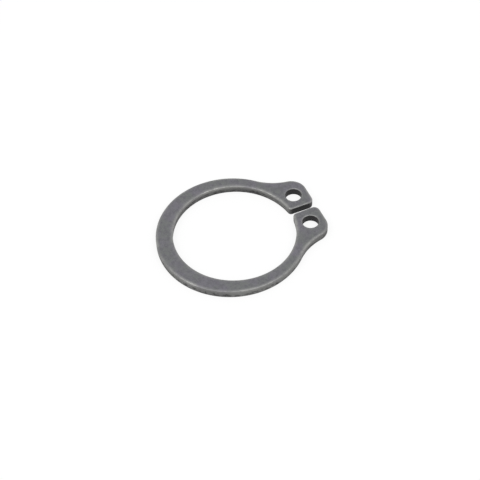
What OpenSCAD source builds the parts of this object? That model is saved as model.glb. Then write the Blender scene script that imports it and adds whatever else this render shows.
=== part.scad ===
// External retaining ring, also called a circlip, for a groove in an 18 mm shaft.
// One flat stamping of spring steel: a tapered ring, two lugs with plier holes and a gap between them.
// Units are millimetres. The origin is on the bore's axis, halfway through the thickness.
// +Z is the face that the punch entered, and +X points through the gap.

/* [Ring] */
// Bore of the free ring, smaller than the groove that it grips
bore_d = 16.5; // [16:0.05:17]
// Thickness of the strip
thickness = 1.18; // [1:0.01:1.4]
// Radial width opposite the gap, where the ring bends most
back_w = 2.31; // [2:0.01:2.6]
// Shift of the outer circle away from the gap, which tapers the ring
outer_shift = 0.49; // [0.3:0.01:0.6]

/* [Lugs] */
// Diameter of the holes that take the pliers' tips
hole_d = 2.2; // [2:0.05:2.4]
// Metal between a plier hole and the bore's circle
bore_wall = 0.96; // [0.8:0.01:1.2]
// Metal between a plier hole and the gap
gap_wall = 1.1; // [0.9:0.01:1.3]
// Metal between a plier hole and the lug's flat end
end_wall = 0.95; // [0.8:0.01:1.2]
// Metal beside a plier hole, away from the gap, where the lug is widest
side_wall = 1.61; // [1.4:0.01:1.9]
// Radius of the lugs' far corners
lug_corner_r = 2.15; // [1.8:0.01:2.4]
// Radius of the hollow that blends each lug into the ring
blend_r = 7.35; // [5:0.05:9]

/* [Gap] */
// Gap between the lugs, measured at the bore circle
gap_w = 0.93; // [0.7:0.01:1.2]
// Angle by which each gap face closes towards the lugs' ends
gap_taper = 1; // [0:0.1:2]
// Corner radius between a gap face and the flat end of its lug
gap_corner_r = 0.78; // [0.6:0.01:1]
// Corner radius between a gap face and the bore
bore_corner_r = 0.5; // [0.5:0.01:0.8]
// Radius of the relieved bore under the lugs, larger than the bore's own
relief_r = 9; // [8.8:0.05:9.5]
// Angle either side of the gap at which the relief begins
relief_a = 36; // [25:1:40]

/* [Edges] */
// Width of the rolled rim on the punch side
roll_w = 0.41; // [0.2:0.01:0.44]
// Depth of the rolled rim
roll_h = 0.19; // [0.14:0.01:0.35]
// Tightest radius of the rolled rim, where it turns down into the wall
roll_r = 0.1; // [0.05:0.01:0.13]
// Radius of the tumbled rim on the die side
burr_r = 0.08; // [0.04:0.01:0.15]
// Width of the rolled rim of the plier holes
hole_roll_w = 0.22; // [0.15:0.01:0.3]
// Depth of the rolled rim of the plier holes
hole_roll_h = 0.12; // [0.1:0.01:0.25]

/* [Hidden] */
$fn = 180;

// Colour of phosphated steel
steel = [0.45, 0.45, 0.46];

// How far the flat land reaches under the rims, and the rims over the land
lap = 0.04;
// Angle between the points of the land's hidden outline
land_step = 5;

top_z = thickness / 2;
bore_r = bore_d / 2;
hole_r = hole_d / 2;
outer_r = bore_r + back_w - outer_shift;
outer_c = [-outer_shift, 0];

// The plier holes, with their walls to the bore and the gap. Their places are drawn to 0.01 mm.
hole_y = gap_w / 2 + gap_wall + hole_r;
hole_x = round(100 * sqrt((bore_r + bore_wall + hole_r) ^ 2 - hole_y ^ 2)) / 100;
hole_c = [hole_x, hole_y];
lug_x = hole_x + hole_r + end_wall;

// The land stops short of every wall by this much, and the rims fill the rest. Near a corner the
// rolled edge can be no wider than the corner allows.
rim_roll_w = min(roll_w, min(bore_corner_r, gap_corner_r) - lap - 0.01);
inset = rim_roll_w + lap;
rim_w = inset + lap;

// Point at distance r from c in direction a, and direction from one point to another
function polar(c, r, a) = c + r * [cos(a), sin(a)];
function heading(from, to) = atan2(to.y - from.y, to.x - from.x);

// Far corner of the upper lug, and the hollow that touches both it and the outer circle
lug_c = [lug_x - lug_corner_r, hole_y + hole_r + side_wall - lug_corner_r];
ring_to_blend = outer_r + blend_r;
lug_to_blend = lug_corner_r + blend_r;
ring_to_lug = norm(lug_c - outer_c);
blend_ring_a = heading(outer_c, lug_c)
    + acos((ring_to_lug ^ 2 + ring_to_blend ^ 2 - lug_to_blend ^ 2) / (2 * ring_to_lug * ring_to_blend));
blend_c = polar(outer_c, ring_to_blend, blend_ring_a);
blend_lug_a = heading(lug_c, blend_c);

// Height of the upper gap face, or of a line that runs beside it at distance off
function gap_y(x, off = 0) = gap_w / 2 - (x - bore_r) * tan(gap_taper) + off / cos(gap_taper);

gap_corner_x = lug_x - gap_corner_r;
gap_corner_c = [gap_corner_x, gap_y(gap_corner_x, gap_corner_r)];

// The relief touches the bore circle from outside at relief_a
relief_c = polar([0, 0], bore_r - relief_r, relief_a);

// The bore corner lies beside the gap face and touches the relief: a line meets a circle
reach = relief_r + bore_corner_r;
slope = -tan(gap_taper);
lift = gap_y(0, bore_corner_r) - relief_c.y;
quad_a = 1 + slope ^ 2;
quad_b = slope * lift - relief_c.x;
quad_c = relief_c.x ^ 2 + lift ^ 2 - reach ^ 2;
bore_corner_x = (-quad_b + sqrt(quad_b ^ 2 - quad_a * quad_c)) / quad_a;
bore_corner_c = [bore_corner_x, gap_y(bore_corner_x, bore_corner_r)];
bore_corner_a = heading(relief_c, bore_corner_c);

// Direction square to the upper gap face, into the gap, and the face's length between the centres of
// its corners
gap_out_a = -90 - gap_taper;
gap_face = (gap_corner_c.x - bore_corner_c.x) / cos(gap_taper);

// Points along an arc, from direction a0 to a1
function arc(c, r, a0, a1) =
    let (n = max(1, ceil(abs(a1 - a0) / land_step)))
    [for (i = [0:n]) polar(c, max(r, 0), a0 + (a1 - a0) * i / n)];

// Outline of the land's upper half, from the back of the ring round the lug to the back of the bore
function land_outline() = concat(
    arc(outer_c, outer_r - inset, 180, blend_ring_a),
    arc(blend_c, blend_r + inset, blend_ring_a + 180, blend_lug_a + 180),
    arc(lug_c, lug_corner_r - inset, blend_lug_a, 0),
    arc(gap_corner_c, gap_corner_r - inset, 0, gap_out_a),
    arc(bore_corner_c, bore_corner_r - inset, gap_out_a, bore_corner_a - 180),
    arc(relief_c, relief_r + inset, bore_corner_a, relief_a),
    arc([0, 0], bore_r + inset, relief_a, 180));

// Piece of a disc, between two directions
module sector(c, r, a0, a1) {
    translate(c)
        intersection() {
            circle(r);
            polygon([[0, 0], polar([0, 0], 2 * r, a0), polar([0, 0], 2 * r, a1)]);
        }
}

// Section of a rim. The wall is at x = 0 and the metal lies towards +x. The rolled edge is two arcs
// that touch: a wide one from the land, and a tight one into the wall, kept less deep than the edge.
module rim_section(w, roll_w, roll_h) {
    tight_r = min(roll_r, 0.85 * roll_h);
    wide_r = ((roll_w - tight_r) ^ 2 + roll_h ^ 2 - tight_r ^ 2) / (2 * (roll_h - tight_r));
    wide_c = [roll_w, top_z - wide_r];
    tight_c = [tight_r, top_z - roll_h];
    burr_c = [burr_r, burr_r - top_z];
    turn = heading(wide_c, tight_c);
    polygon([
        [w, -top_z],
        [w, top_z],
        [roll_w, top_z],
        polar(wide_c, wide_r, turn),
        [0, top_z - roll_h],
        [0, burr_r - top_z],
        [burr_r, -top_z]
    ]);
    sector(wide_c, wide_r, 90, turn);
    sector(tight_c, tight_r, turn, 180);
    sector(burr_c, burr_r, 180, 270);
}

// Puts something made about the origin at point c, turned by a
module at(c, a = 0) {
    translate([c.x, c.y, 0])
        rotate([0, 0, a])
            children();
}

// Rim along an arc that bulges out of the metal
module outer_rim(r, a0, a1) {
    rotate_extrude(angle = a1 - a0, start = a0)
        translate([r, 0])
            mirror([1, 0])
                rim_section(min(rim_w, r), rim_roll_w, roll_h);
}

// Rim along an arc that is hollowed into the metal
module inner_rim(r, a0, a1) {
    rotate_extrude(angle = a1 - a0, start = a0)
        translate([r, 0])
            rim_section(rim_w, rim_roll_w, roll_h);
}

// Rim along a straight edge, with the metal on the left
module straight_rim(from, to) {
    at(from, heading(from, to) + 90)
        rotate([90, 0, 0])
            linear_extrude(norm(to - from))
                rim_section(rim_w, rim_roll_w, roll_h);
}

// Flat land between the rims, with room for the rims of the plier holes
module land() {
    half = land_outline();
    last = len(half) - 1;
    other_half = [for (i = [last:-1:0]) [half[i].x, -half[i].y]];
    translate([0, 0, -top_z])
        linear_extrude(thickness)
            difference() {
                polygon(concat(half, other_half));
                for (side = [-1, 1])
                    translate([hole_c.x, side * hole_c.y])
                        circle(hole_r + hole_roll_w + lap);
            }
}

// Rims of the ring: its back, its two arms, and its bore
module ring_rim(i) {
    if (i == 0) at(outer_c) outer_rim(outer_r, 90, 270);
    if (i == 1) at(outer_c, blend_ring_a) outer_rim(outer_r, 0, 90 - blend_ring_a);
    if (i == 2) mirror([0, 1, 0]) ring_rim(1);
    if (i == 3) inner_rim(bore_r, relief_a, 360 - relief_a);
}

// Rims of the upper lug: hollow, far corner, flat end, gap corner, gap face, bore corner, relief and
// plier hole
module lug_rim(i) {
    if (i == 0)
        at(outer_c, blend_ring_a)
            translate([ring_to_blend, 0, 0])
                inner_rim(blend_r, 180, 180 + blend_lug_a - blend_ring_a);
    if (i == 1)
        at(lug_c)
            outer_rim(lug_corner_r, 0, blend_lug_a);
    if (i == 2)
        straight_rim([lug_x, gap_corner_c.y], [lug_x, lug_c.y]);
    if (i == 3)
        at(gap_corner_c, -gap_taper)
            outer_rim(gap_corner_r, -90, gap_taper);
    if (i == 4)
        at(gap_corner_c, -gap_taper)
            straight_rim([-gap_face, -gap_corner_r], [0, -gap_corner_r]);
    if (i == 5)
        at(gap_corner_c, -gap_taper)
            translate([-gap_face, bore_corner_r - gap_corner_r, 0])
                outer_rim(bore_corner_r, bore_corner_a - 180 + gap_taper, -90);
    if (i == 6)
        at(relief_c)
            inner_rim(relief_r, bore_corner_a, relief_a);
    if (i == 7)
        at(hole_c)
            rotate_extrude()
                translate([hole_r, 0])
                    rim_section(hole_roll_w + 2 * lap, hole_roll_w, hole_roll_h);
}

// The land with the first n rims joined to it, one after another: those of the ring, of the upper
// lug, and of the lower lug, its mirror image
module joined(n) {
    if (n == 0)
        land();
    else {
        joined(n - 1);
        if (n <= 4)
            ring_rim(n - 1);
        else if (n <= 12)
            lug_rim(n - 5);
        else
            mirror([0, 1, 0])
                lug_rim(n - 13);
    }
}

module retaining_ring() {
    color(steel)
        joined(20);
}

retaining_ring();
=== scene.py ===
"""Dresses the retaining ring: one finely rolled and sheared steel body that stands for the CAD node."""

import math
from typing import NamedTuple

import bmesh
import bpy
import numpy as np
from mathutils import Matrix, Vector
from mathutils.geometry import tessellate_polygon


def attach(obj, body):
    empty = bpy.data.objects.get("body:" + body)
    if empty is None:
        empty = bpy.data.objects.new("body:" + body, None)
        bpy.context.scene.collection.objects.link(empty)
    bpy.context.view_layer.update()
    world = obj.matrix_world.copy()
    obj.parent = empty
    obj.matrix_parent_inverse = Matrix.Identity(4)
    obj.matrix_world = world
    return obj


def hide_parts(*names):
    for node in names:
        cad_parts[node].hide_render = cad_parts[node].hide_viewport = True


MM = 0.001

# Sizes in millimetres, the same as in the part's source
BORE_R = 8.25
THICKNESS = 1.18
BACK_W = 2.31
OUTER_SHIFT = 0.49
LUG_DEPTH = 3.76
LUG_CORNER_R = 2.15
LUG_CORNER_SPREAD = 6.45
BLEND_R = 7.35
GAP_W = 0.93
GAP_TAPER = math.radians(1)
GAP_CORNER_R = 0.78
BORE_CORNER_R = 0.5
RELIEF_R = 9.0
RELIEF_A = math.radians(36)
HOLE_R = 1.1
HOLE_X = 9.96
HOLE_Y = 2.665


class Edge(NamedTuple):
    """Looks of the edge at one place on the outline."""

    # Width and depth of the rolled rim, and how late it turns down
    roll_w: float
    roll_h: float
    late: float

    # How much shade is painted on its wall, from 0 to 1, and how far down the wall the tumbling has
    # rubbed it bright and a highlight is painted
    painted_shade: float
    rubbed_highlight_h: float


OUTER_EDGE = Edge(0.41, 0.19, 2.2, painted_shade=0.03, rubbed_highlight_h=0.26)
LUG_EDGE = Edge(0.36, 0.17, 2.2, painted_shade=0.20, rubbed_highlight_h=0.10)
GAP_EDGE = Edge(0.30, 0.14, 2.4, painted_shade=1.00, rubbed_highlight_h=0.0)
CORNER_EDGE = Edge(0.40, 0.19, 2.2, painted_shade=0.15, rubbed_highlight_h=0.15)
BORE_EDGE = Edge(0.55, 0.17, 3.0, painted_shade=0.39, rubbed_highlight_h=0.30)
HOLE_EDGE = Edge(0.22, 0.12, 2.4, painted_shade=1.00, rubbed_highlight_h=0.0)

# The sheared wall's torn zone and the tumbled rim below it
TEAR_H = 0.60
TEAR_DEPTH = 0.018
BURR_R = 0.08

# How torn the wall already is where the torn zone starts, and how bright the painted highlight on the
# tumbled lower rim is
TEAR_START = 0.25
BURR_SHINE = 0.6

# Fineness of the mesh: rows down the edge, and stations along it in millimetres and radians
ROLL_STEPS = 14
WALL_STEPS = 8
TEAR_STEPS = 5
BURR_STEPS = 5
STATION_GAP = 0.14
STATION_TURN = 0.09
HOLE_STATIONS = 112

# Picks one pattern of wear out of many
SEED = 7.0

# Colours of the steel
VIOLET_LAND = (0.166, 0.157, 0.188, 1)
GREEN_LAND = (0.154, 0.163, 0.158, 1)
DARK_MOTTLE = (0.114, 0.112, 0.128, 1)
PALE_GRAIN = (0.220, 0.219, 0.225, 1)
# Rubbed rims, lightened further as a painted highlight
RUBBED_RIM_HIGHLIGHT = (0.325, 0.325, 0.312, 1)
DULL_WALL = (0.178, 0.176, 0.169, 1)
RUBBED_WALL = (0.228, 0.226, 0.217, 1)
TORN_SPOT = (0.022, 0.021, 0.022, 1)
TORN_FLECK = (0.25, 0.25, 0.24, 1)
# Painted shade for the walls of the plier holes and the gap, and fainter on the bore
PAINTED_SHADE_COLOUR = (0.028, 0.027, 0.028, 1)

# Half the table's side, in metres
TABLE_HALF = 4.0

# Strength of the white surroundings as a light, and where they are seen as the background
SKY_LIGHT = 0.62
SKY_SEEN = 1.0

TOP_Z = THICKNESS / 2
FLOOR_Z = -TOP_Z

# Camera of the photograph: direction, roll, distance, the point on the floor it looks at, and its lens
CAM_AZIMUTH = math.radians(-22.81)
CAM_ELEVATION = math.radians(49.19)
CAM_ROLL = math.radians(-2.16)
CAM_DISTANCE = 278.7
CAM_TARGET = (0.485, -0.639, -0.59)
CAM_LENS = 156.4


def unit(angle):
    """Direction in the plane at an angle."""
    return np.array([math.cos(angle), math.sin(angle)])


def heading(start, end):
    """Angle of the way from one point to another."""
    return math.atan2(end[1] - start[1], end[0] - start[0])


def between(look, end_look, t):
    """Look of the edge on the way from one to another."""
    return Edge(*(a + (b - a) * t for a, b in zip(look, end_look)))


def arc(centre, radius, start, end, side, look, end_look=None, first=False):
    """Stations along an arc, each a point, the direction out of the metal there and the edge's look."""
    turn = abs(end - start)
    count = max(2, math.ceil(turn * radius / STATION_GAP), math.ceil(turn / STATION_TURN))
    out = []
    for i in range(0 if first else 1, count + 1):
        way = unit(start + (end - start) * i / count)
        out.append((centre + radius * way, side * way, between(look, end_look or look, i / count)))
    return out


def line(start, end, way, look):
    """Stations between the ends of a straight run, without the ends themselves."""
    count = max(2, math.ceil(np.linalg.norm(end - start) / STATION_GAP))
    return [(start + (end - start) * i / count, way, look) for i in range(1, count)]


def upper_outline():
    """Upper half of the outline, from the ring's back round the lug and along the bore."""
    outer_r = BORE_R + BACK_W - OUTER_SHIFT
    outer_c = np.array([-OUTER_SHIFT, 0.0])
    lug_x = BORE_R + LUG_DEPTH
    lug_c = np.array([lug_x - LUG_CORNER_R, LUG_CORNER_SPREAD / 2])

    # The hollow touches the outer circle and the lug's far corner
    ring_to_blend = outer_r + BLEND_R
    lug_to_blend = LUG_CORNER_R + BLEND_R
    ring_to_lug = np.linalg.norm(lug_c - outer_c)
    cosine = (ring_to_lug**2 + ring_to_blend**2 - lug_to_blend**2) / (2 * ring_to_lug * ring_to_blend)
    blend_ring_a = heading(outer_c, lug_c) + math.acos(cosine)
    blend_c = outer_c + ring_to_blend * unit(blend_ring_a)
    blend_lug_a = heading(lug_c, blend_c)

    # Both corners lie beside the gap face, which closes slightly towards the lug's end
    def beside_gap(x, off):
        return GAP_W / 2 - (x - BORE_R) * math.tan(GAP_TAPER) + off / math.cos(GAP_TAPER)

    gap_out_a = -math.pi / 2 - GAP_TAPER
    gap_x = lug_x - GAP_CORNER_R
    gap_c = np.array([gap_x, beside_gap(gap_x, GAP_CORNER_R)])

    # The bore corner also touches the relief: a line meets a circle
    relief_c = (BORE_R - RELIEF_R) * unit(RELIEF_A)
    slope = -math.tan(GAP_TAPER)
    lift = beside_gap(0, BORE_CORNER_R) - relief_c[1]
    quad_a = 1 + slope**2
    quad_b = slope * lift - relief_c[0]
    quad_c = relief_c[0] ** 2 + lift**2 - (RELIEF_R + BORE_CORNER_R) ** 2
    bore_x = (-quad_b + math.sqrt(quad_b**2 - quad_a * quad_c)) / quad_a
    bore_c = np.array([bore_x, beside_gap(bore_x, BORE_CORNER_R)])
    bore_a = heading(relief_c, bore_c)

    back = arc(outer_c, outer_r, math.pi, blend_ring_a, 1, OUTER_EDGE, first=True)
    hollow_a = blend_ring_a + math.pi
    hollow = arc(blend_c, BLEND_R, hollow_a, blend_lug_a + math.pi, -1, OUTER_EDGE, LUG_EDGE)
    lug_corner = arc(lug_c, LUG_CORNER_R, blend_lug_a, 0, 1, LUG_EDGE)
    gap_corner = arc(gap_c, GAP_CORNER_R, 0, gap_out_a, 1, LUG_EDGE, GAP_EDGE, first=True)
    bore_end_a = bore_a - math.pi
    bore_corner = arc(bore_c, BORE_CORNER_R, gap_out_a, bore_end_a, 1, GAP_EDGE, CORNER_EDGE, first=True)
    relief = arc(relief_c, RELIEF_R, bore_a, RELIEF_A, -1, CORNER_EDGE, BORE_EDGE)
    bore = arc(np.zeros(2), BORE_R, RELIEF_A, math.pi, -1, BORE_EDGE)
    flat_end = line(lug_corner[-1][0], gap_corner[0][0], unit(0), LUG_EDGE)
    gap_face = line(gap_corner[-1][0], bore_corner[0][0], unit(gap_out_a), GAP_EDGE)
    return back + hollow + lug_corner + flat_end + gap_corner + gap_face + bore_corner + relief + bore


def outline():
    """The whole outline, closed by the lower half."""
    upper = upper_outline()
    flip = np.array([1, -1])
    return upper + [(point * flip, way * flip, look) for point, way, look in upper[-2:0:-1]]


def section(look):
    """Edge section from the upper land down to the lower one: depth into the metal, height, and the
    two values that the material reads, how far the surface is rubbed and carries a painted highlight, and
    how torn it is."""
    rows = [(look.roll_w, TOP_Z, 0.0, 0.0)]

    # Rolled rim, a quarter of a superellipse, its painted highlight brightest halfway down and onwards if
    # its wall is rubbed
    for i in range(1, ROLL_STEPS):
        a = math.pi / 2 * i / ROLL_STEPS
        depth = look.roll_w * (1 - math.sin(a) ** (2 / look.late))
        fall = look.roll_h * (1 - math.cos(a))
        bend = look.roll_h * look.late / (2 * look.roll_w)
        tilt = math.atan(bend * math.sin(a) ** (2 - 2 / look.late) / math.cos(a))
        shine = 1.0 if look.rubbed_highlight_h and tilt > math.pi / 4 else math.sin(2 * tilt) ** 0.8
        rows.append((depth, TOP_Z - fall, shine, 0.0))

    # Sheared wall
    start = TOP_Z - look.roll_h
    tear_start = FLOOR_Z + TEAR_H
    for i in range(WALL_STEPS + 1):
        t = i / WALL_STEPS
        height = start + (tear_start - start) * t
        # The wall's top is rubbed and painted with a highlight that fades downwards
        rubbed_and_highlight = max(0.0, 1 - (start - height) / look.rubbed_highlight_h) if look.rubbed_highlight_h else 0.0
        rows.append((0.0, height, rubbed_and_highlight, TEAR_START * t))

    # Torn zone, which leans into the metal
    tear_end = FLOOR_Z + BURR_R
    for i in range(1, TEAR_STEPS + 1):
        t = i / TEAR_STEPS
        height = tear_start + (tear_end - tear_start) * t
        rows.append((TEAR_DEPTH * t, height, 0.0, TEAR_START + (1 - TEAR_START) * t))

    # Tumbled lower rim, with a painted highlight brightest halfway round
    for i in range(1, BURR_STEPS + 1):
        a = math.pi / 2 * i / BURR_STEPS
        depth = TEAR_DEPTH + (BURR_R - TEAR_DEPTH) * (1 - math.cos(a))
        height = tear_end - BURR_R * math.sin(a)
        rows.append((depth, height, math.sin(2 * a) * BURR_SHINE, 1.0 - math.sin(a)))
    return rows


class Body:
    """Collects the vertices, faces and edge values of the one solid."""

    def __init__(self):
        self.points = []
        self.faces = []
        self.rolled = []
        self.torn = []
        self.painted_shade = []

    def sweep(self, stations):
        """Sweeps the section round a closed loop and returns its upper and lower loops of vertices."""
        first = len(self.points)
        for point, way, look in stations:
            rows = section(look)
            width = len(rows)
            for depth, height, rolled, torn in rows:
                x, y = point - depth * way
                self.points.append((x * MM, y * MM, height * MM))
                self.rolled.append(rolled)
                self.torn.append(torn)
                self.painted_shade.append(look.painted_shade)
        count = len(stations)
        for i in range(count):
            j = (i + 1) % count
            for k in range(width - 1):
                a = first + i * width + k
                b = first + j * width + k
                self.faces.append((a, b, b + 1, a + 1))
        upper = [first + i * width for i in range(count)]
        return upper, [v + width - 1 for v in upper]

    def land(self, loops):
        """Fills the flat face between an outer loop and the loops inside it."""
        flat = [v for loop in loops for v in loop]
        shape = [[Vector(self.points[v]) / MM for v in loop] for loop in loops]
        for corners in tessellate_polygon(shape):
            self.faces.append(tuple(flat[c] for c in corners))

    def build(self, name):
        """Makes the mesh object, closed and smooth, with the edge values as attributes."""
        mesh = bpy.data.meshes.new(name)
        mesh.from_pydata(self.points, [], self.faces)
        for label, values in (("rolled", self.rolled), ("torn", self.torn), ("painted_shade", self.painted_shade)):
            layer = mesh.attributes.new(label, "FLOAT", "POINT")
            layer.data.foreach_set("value", np.array(values, dtype=np.float32))
        work = bmesh.new()
        work.from_mesh(mesh)
        bmesh.ops.recalc_face_normals(work, faces=work.faces[:])
        for face in work.faces:
            face.smooth = True
        work.to_mesh(mesh)
        work.free()
        thing = bpy.data.objects.new(name, mesh)
        bpy.context.scene.collection.objects.link(thing)
        return thing


def ring_body():
    """The stamped ring as one closed body."""
    body = Body()
    uppers = []
    lowers = []
    upper, lower = body.sweep(outline())
    uppers.append(upper)
    lowers.append(lower)
    for y in (HOLE_Y, -HOLE_Y):
        centre = np.array([HOLE_X, y])
        turn = [unit(-2 * math.pi * i / HOLE_STATIONS) for i in range(HOLE_STATIONS)]
        upper, lower = body.sweep([(centre + HOLE_R * way, -way, HOLE_EDGE) for way in turn])
        uppers.append(upper)
        lowers.append(lower)
    body.land(uppers)
    body.land(lowers)
    return body.build("stamped_ring")


class Nodes:
    """Short calls for the nodes of one material or of the world."""

    def __init__(self, owner):
        owner.use_nodes = True
        self.tree = owner.node_tree
        self.tree.nodes.clear()

    def add(self, kind, **values):
        node = self.tree.nodes.new(kind)
        for key, value in values.items():
            setattr(node, key, value)
        return node

    def link(self, source, target):
        self.tree.links.new(source, target)

    def feed(self, target, value):
        """Links a socket, or sets the target's own value."""
        if isinstance(value, bpy.types.NodeSocket):
            self.link(value, target)
        else:
            target.default_value = value

    def math(self, operation, a, b=0.0, clamp=False):
        node = self.add("ShaderNodeMath", operation=operation, use_clamp=clamp)
        self.feed(node.inputs[0], a)
        self.feed(node.inputs[1], b)
        return node.outputs[0]

    def remap(self, value, low, high, to_low=0.0, to_high=1.0):
        node = self.add("ShaderNodeMapRange", interpolation_type="SMOOTHSTEP")
        self.feed(node.inputs["Value"], value)
        node.inputs["From Min"].default_value = low
        node.inputs["From Max"].default_value = high
        node.inputs["To Min"].default_value = to_low
        node.inputs["To Max"].default_value = to_high
        return node.outputs["Result"]

    def mix(self, factor, a, b):
        node = self.add("ShaderNodeMix", data_type="RGBA")
        self.feed(node.inputs[0], factor)
        self.feed(node.inputs[6], a)
        self.feed(node.inputs[7], b)
        return node.outputs[2]

    def noise(self, vector, scale, detail=3.0, roughness=0.55):
        node = self.add("ShaderNodeTexNoise", noise_dimensions="4D")
        self.link(vector, node.inputs["Vector"])
        node.inputs["W"].default_value = SEED
        node.inputs["Scale"].default_value = scale
        node.inputs["Detail"].default_value = detail
        node.inputs["Roughness"].default_value = roughness
        return node.outputs["Fac"]

    def millimetres(self, stretch=(1, 1, 1)):
        """The object's own coordinates in millimetres."""
        place = self.add("ShaderNodeTexCoord").outputs["Object"]
        node = self.add("ShaderNodeVectorMath", operation="MULTIPLY")
        self.link(place, node.inputs[0])
        node.inputs[1].default_value = [s / MM for s in stretch]
        return node.outputs[0]

    def steepness(self):
        """0 on a face that lies flat, 1 on a wall."""
        facing = self.add("ShaderNodeTexCoord").outputs["Normal"]
        split = self.add("ShaderNodeSeparateXYZ")
        self.link(facing, split.inputs[0])
        return self.math("SUBTRACT", 1.0, self.math("ABSOLUTE", split.outputs["Z"]))

    def attribute(self, name):
        node = self.add("ShaderNodeAttribute", attribute_name=name)
        return node.outputs["Fac"]

    def seen(self):
        """1 for the rays that see a background: straight from the camera, in a gloss or through glass."""
        path = self.add("ShaderNodeLightPath")
        seen = self.math("MAXIMUM", path.outputs["Is Camera Ray"], path.outputs["Is Glossy Ray"])
        return self.math("MAXIMUM", seen, path.outputs["Is Transmission Ray"])


def steel_material():
    """Phosphated spring steel, dull grey on the land, burnished and painted with highlights on the rolled
    rims, torn below, with painted shade in the holes and the gap.
    """
    material = bpy.data.materials.new("phosphated_steel")
    n = Nodes(material)
    place = n.millimetres()
    upright = n.millimetres((1, 1, 0.22))
    lying = n.millimetres((1, 1, 3))
    rolled = n.attribute("rolled")
    torn = n.attribute("torn")
    painted_shade = n.attribute("painted_shade")
    steep = n.steepness()

    wear = n.noise(place, 0.22, 2)
    cloud = n.noise(place, 0.5, 3)
    patch = n.noise(place, 1.3, 4)
    mottle = n.noise(place, 2.2, 3, 0.6)
    grain = n.noise(place, 9, 4, 0.7)
    streak = n.noise(upright, 1.9, 5, 0.65)
    fine_streak = n.noise(upright, 9, 3, 0.6)
    band = n.noise(lying, 1.2, 3, 0.6)

    # Land: two faint tints in clouds, darker mottles and a fine crystal grain
    land = n.mix(n.remap(cloud, 0.40, 0.60), VIOLET_LAND, GREEN_LAND)
    land = n.mix(n.remap(mottle, 0.40, 0.62, 0.0, 0.80), land, DARK_MOTTLE)
    land = n.mix(n.remap(grain, 0.38, 0.66, 0.0, 0.6), land, PALE_GRAIN)

    # Rolled rims, where tumbling has rubbed the coat thin and a highlight is painted lighter, least
    # evenly on the palest edges
    rubbed_and_highlight = n.math("MULTIPLY", rolled, n.remap(patch, 0.34, 0.62, 0.45, 1.0), clamp=True)
    uneven = n.remap(painted_shade, 0.03, 0.34, 0.60, 0.40)
    lost = n.math("MULTIPLY", uneven, n.remap(wear, 0.39, 0.58, 1.0, 0.0))
    rubbed_and_highlight = n.math("MULTIPLY", rubbed_and_highlight, n.math("SUBTRACT", 1.06, lost), clamp=True)
    # The painted highlight fades where painted shade is
    rubbed_and_highlight = n.math("MULTIPLY", rubbed_and_highlight, n.remap(painted_shade, 0.3, 1.0, 1.0, 0.6))
    colour = n.mix(rubbed_and_highlight, land, RUBBED_RIM_HIGHLIGHT)

    # Sheared wall, bare of the land's tints and lighter where it is rubbed
    wall = n.mix(n.remap(wear, 0.39, 0.58), DULL_WALL, RUBBED_WALL)
    colour = n.mix(n.math("MULTIPLY", n.remap(steep, 0.3, 0.9), 0.7), colour, wall)

    # Torn zone low on the wall: dark spots with a ragged edge and upright streaks, and bright flecks
    ragged = n.math("ADD", torn, n.math("MULTIPLY", n.math("SUBTRACT", streak, 0.5), 3.2))
    murk = n.math("MULTIPLY", n.remap(ragged, 0.30, 0.80), n.remap(torn, 0.0, 0.15))
    murk = n.math("MULTIPLY", murk, n.remap(patch, 0.42, 0.62, 0.08, 0.85))
    spots = n.math("MULTIPLY", n.remap(band, 0.52, 0.60, 0.0, 0.95), n.remap(torn, 0.12, 0.30))
    spots = n.math("MULTIPLY", spots, n.remap(wear, 0.38, 0.58, 1.0, 0.65))
    murk = n.math("MAXIMUM", murk, spots)
    murk = n.math("MULTIPLY", murk, n.remap(torn, 0.75, 1.0, 1.0, 0.45))
    colour = n.mix(murk, colour, TORN_SPOT)
    fleck = n.math("MULTIPLY", n.remap(fine_streak, 0.54, 0.66, 0.0, 0.7), n.remap(torn, 0.05, 0.30))
    colour = n.mix(fleck, colour, TORN_FLECK)

    # Walls that keep their thick coat, in the plier holes and the gap
    # Painted shade on the steep walls, full in the plier holes and the gap, fainter on the bore and lugs,
    # none on the rims
    shade = n.math("MULTIPLY", painted_shade, n.math("SUBTRACT", 1.0, n.remap(rolled, 0.0, 0.5)), clamp=True)
    shade = n.math("MULTIPLY", shade, n.remap(steep, 0.15, 0.75))
    colour = n.mix(shade, colour, PAINTED_SHADE_COLOUR)

    # Matt on the land, glossier where it is rubbed and rougher where it is torn
    rough = n.remap(grain, 0.25, 0.75, 0.50, 0.62)
    rough = n.math("SUBTRACT", rough, n.math("MULTIPLY", rubbed_and_highlight, 0.22))
    rough = n.math("ADD", rough, n.math("MULTIPLY", torn, 0.12), clamp=True)

    # Fine bumps, with upright scores in the torn zone
    height = n.math("MULTIPLY", grain, 0.35)
    height = n.math("ADD", height, n.math("MULTIPLY", patch, 0.6))
    torn_height = n.math("MULTIPLY", fine_streak, 1.4)
    torn_height = n.math("ADD", torn_height, n.math("MULTIPLY", streak, 2.5))
    height = n.math("ADD", height, n.math("MULTIPLY", torn, torn_height))
    bump = n.add("ShaderNodeBump")
    bump.inputs["Strength"].default_value = 0.6
    bump.inputs["Distance"].default_value = 0.012 * MM
    n.link(height, bump.inputs["Height"])

    shader = n.add("ShaderNodeBsdfPrincipled")
    n.link(colour, shader.inputs["Base Color"])
    n.link(rough, shader.inputs["Roughness"])
    n.link(bump.outputs["Normal"], shader.inputs["Normal"])
    shader.inputs["Metallic"].default_value = 0.6
    out = n.add("ShaderNodeOutputMaterial")
    n.link(shader.outputs[0], out.inputs["Surface"])
    return material


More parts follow.
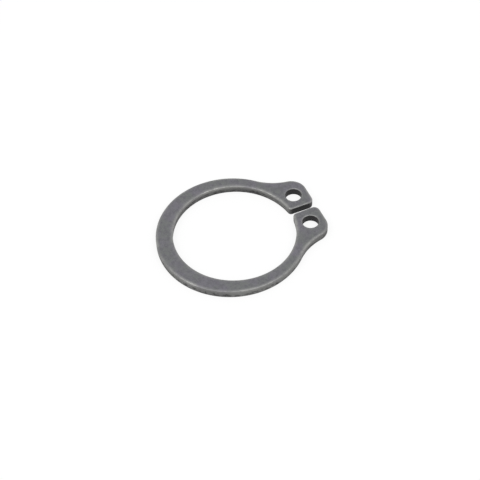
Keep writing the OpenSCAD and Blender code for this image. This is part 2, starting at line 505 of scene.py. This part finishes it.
def floor_material():
    """Pale table that the camera sees as white, with the ring's shadow kept."""
    material = bpy.data.materials.new("pale_table")
    n = Nodes(material)
    matt = n.add("ShaderNodeBsdfDiffuse")
    matt.inputs["Color"].default_value = (0.86, 0.86, 0.86, 1)
    glow = n.add("ShaderNodeEmission")
    glow.inputs["Color"].default_value = (1, 1, 1, 1)
    glow.inputs["Strength"].default_value = 1.06
    blend = n.add("ShaderNodeMixShader")
    n.link(n.math("MULTIPLY", n.seen(), 0.8), blend.inputs[0])
    n.link(matt.outputs[0], blend.inputs[1])
    n.link(glow.outputs[0], blend.inputs[2])
    out = n.add("ShaderNodeOutputMaterial")
    n.link(blend.outputs[0], out.inputs["Surface"])
    return material


def add_floor():
    """A wide flat table under the ring."""
    mesh = bpy.data.meshes.new("table")
    z = FLOOR_Z * MM
    corners = [(x * TABLE_HALF, y * TABLE_HALF, z) for x, y in ((-1, -1), (1, -1), (1, 1), (-1, 1))]
    mesh.from_pydata(corners, [], [(0, 1, 2, 3)])
    mesh.materials.append(floor_material())
    table = bpy.data.objects.new("table", mesh)
    bpy.context.scene.collection.objects.link(table)


def add_world():
    """Even white surroundings."""
    world = bpy.data.worlds.new("studio")
    bpy.context.scene.world = world
    n = Nodes(world)
    white = n.add("ShaderNodeBackground")
    white.inputs["Color"].default_value = (1, 1, 1, 1)
    n.link(n.remap(n.seen(), 0, 1, SKY_LIGHT, SKY_SEEN), white.inputs["Strength"])
    out = n.add("ShaderNodeOutputWorld")
    n.link(white.outputs[0], out.inputs["Surface"])


def way_back(azimuth, elevation):
    """Direction from the ring to a lamp or camera. Azimuth 0 is the side of -Y."""
    level = math.cos(elevation)
    return Vector((math.sin(azimuth) * level, -math.cos(azimuth) * level, math.sin(elevation)))


def add_lamp(name, azimuth, elevation, distance, size, power):
    """A square soft box that faces the ring, with its angles in degrees."""
    back = way_back(math.radians(azimuth), math.radians(elevation))
    light = bpy.data.lights.new(name, "AREA")
    light.shape = "SQUARE"
    light.size = size
    light.energy = power
    lamp = bpy.data.objects.new(name, light)
    lamp.location = back * distance
    lamp.rotation_euler = back.to_track_quat("Z", "Y").to_euler()
    bpy.context.scene.collection.objects.link(lamp)


def add_camera():
    """The photograph's camera."""
    back = way_back(CAM_AZIMUTH, CAM_ELEVATION)
    right = Vector((math.cos(CAM_AZIMUTH), math.sin(CAM_AZIMUTH), 0))
    up = back.cross(right)
    rolled_right = right * math.cos(CAM_ROLL) + up * math.sin(CAM_ROLL)
    rolled_up = up * math.cos(CAM_ROLL) - right * math.sin(CAM_ROLL)
    data = bpy.data.cameras.new("photo_camera")
    data.lens = CAM_LENS
    data.sensor_width = 36
    data.clip_start = 0.005
    data.clip_end = 50
    camera = bpy.data.objects.new("photo_camera", data)
    turn = Matrix((rolled_right, rolled_up, back)).transposed().to_4x4()
    spot = (Vector(CAM_TARGET) + back * CAM_DISTANCE) * MM
    camera.matrix_world = Matrix.Translation(spot) @ turn
    bpy.context.scene.collection.objects.link(camera)
    bpy.context.scene.camera = camera


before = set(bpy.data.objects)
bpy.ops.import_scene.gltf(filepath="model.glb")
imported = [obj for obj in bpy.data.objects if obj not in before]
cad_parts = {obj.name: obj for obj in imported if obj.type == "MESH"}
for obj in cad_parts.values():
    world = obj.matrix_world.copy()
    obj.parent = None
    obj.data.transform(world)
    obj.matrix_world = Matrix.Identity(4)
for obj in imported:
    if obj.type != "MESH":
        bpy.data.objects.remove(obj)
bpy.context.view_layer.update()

add_camera()
ring = ring_body()
ring.data.materials.append(steel_material())
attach(ring, "root")
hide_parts("retaining_ring")

add_floor()
add_world()
add_lamp("key_left", azimuth=-80, elevation=55, distance=0.6, size=0.35, power=0.75)
add_lamp("key_right", azimuth=25, elevation=58, distance=0.6, size=0.35, power=0.75)
bpy.context.scene.view_settings.view_transform = "Standard"
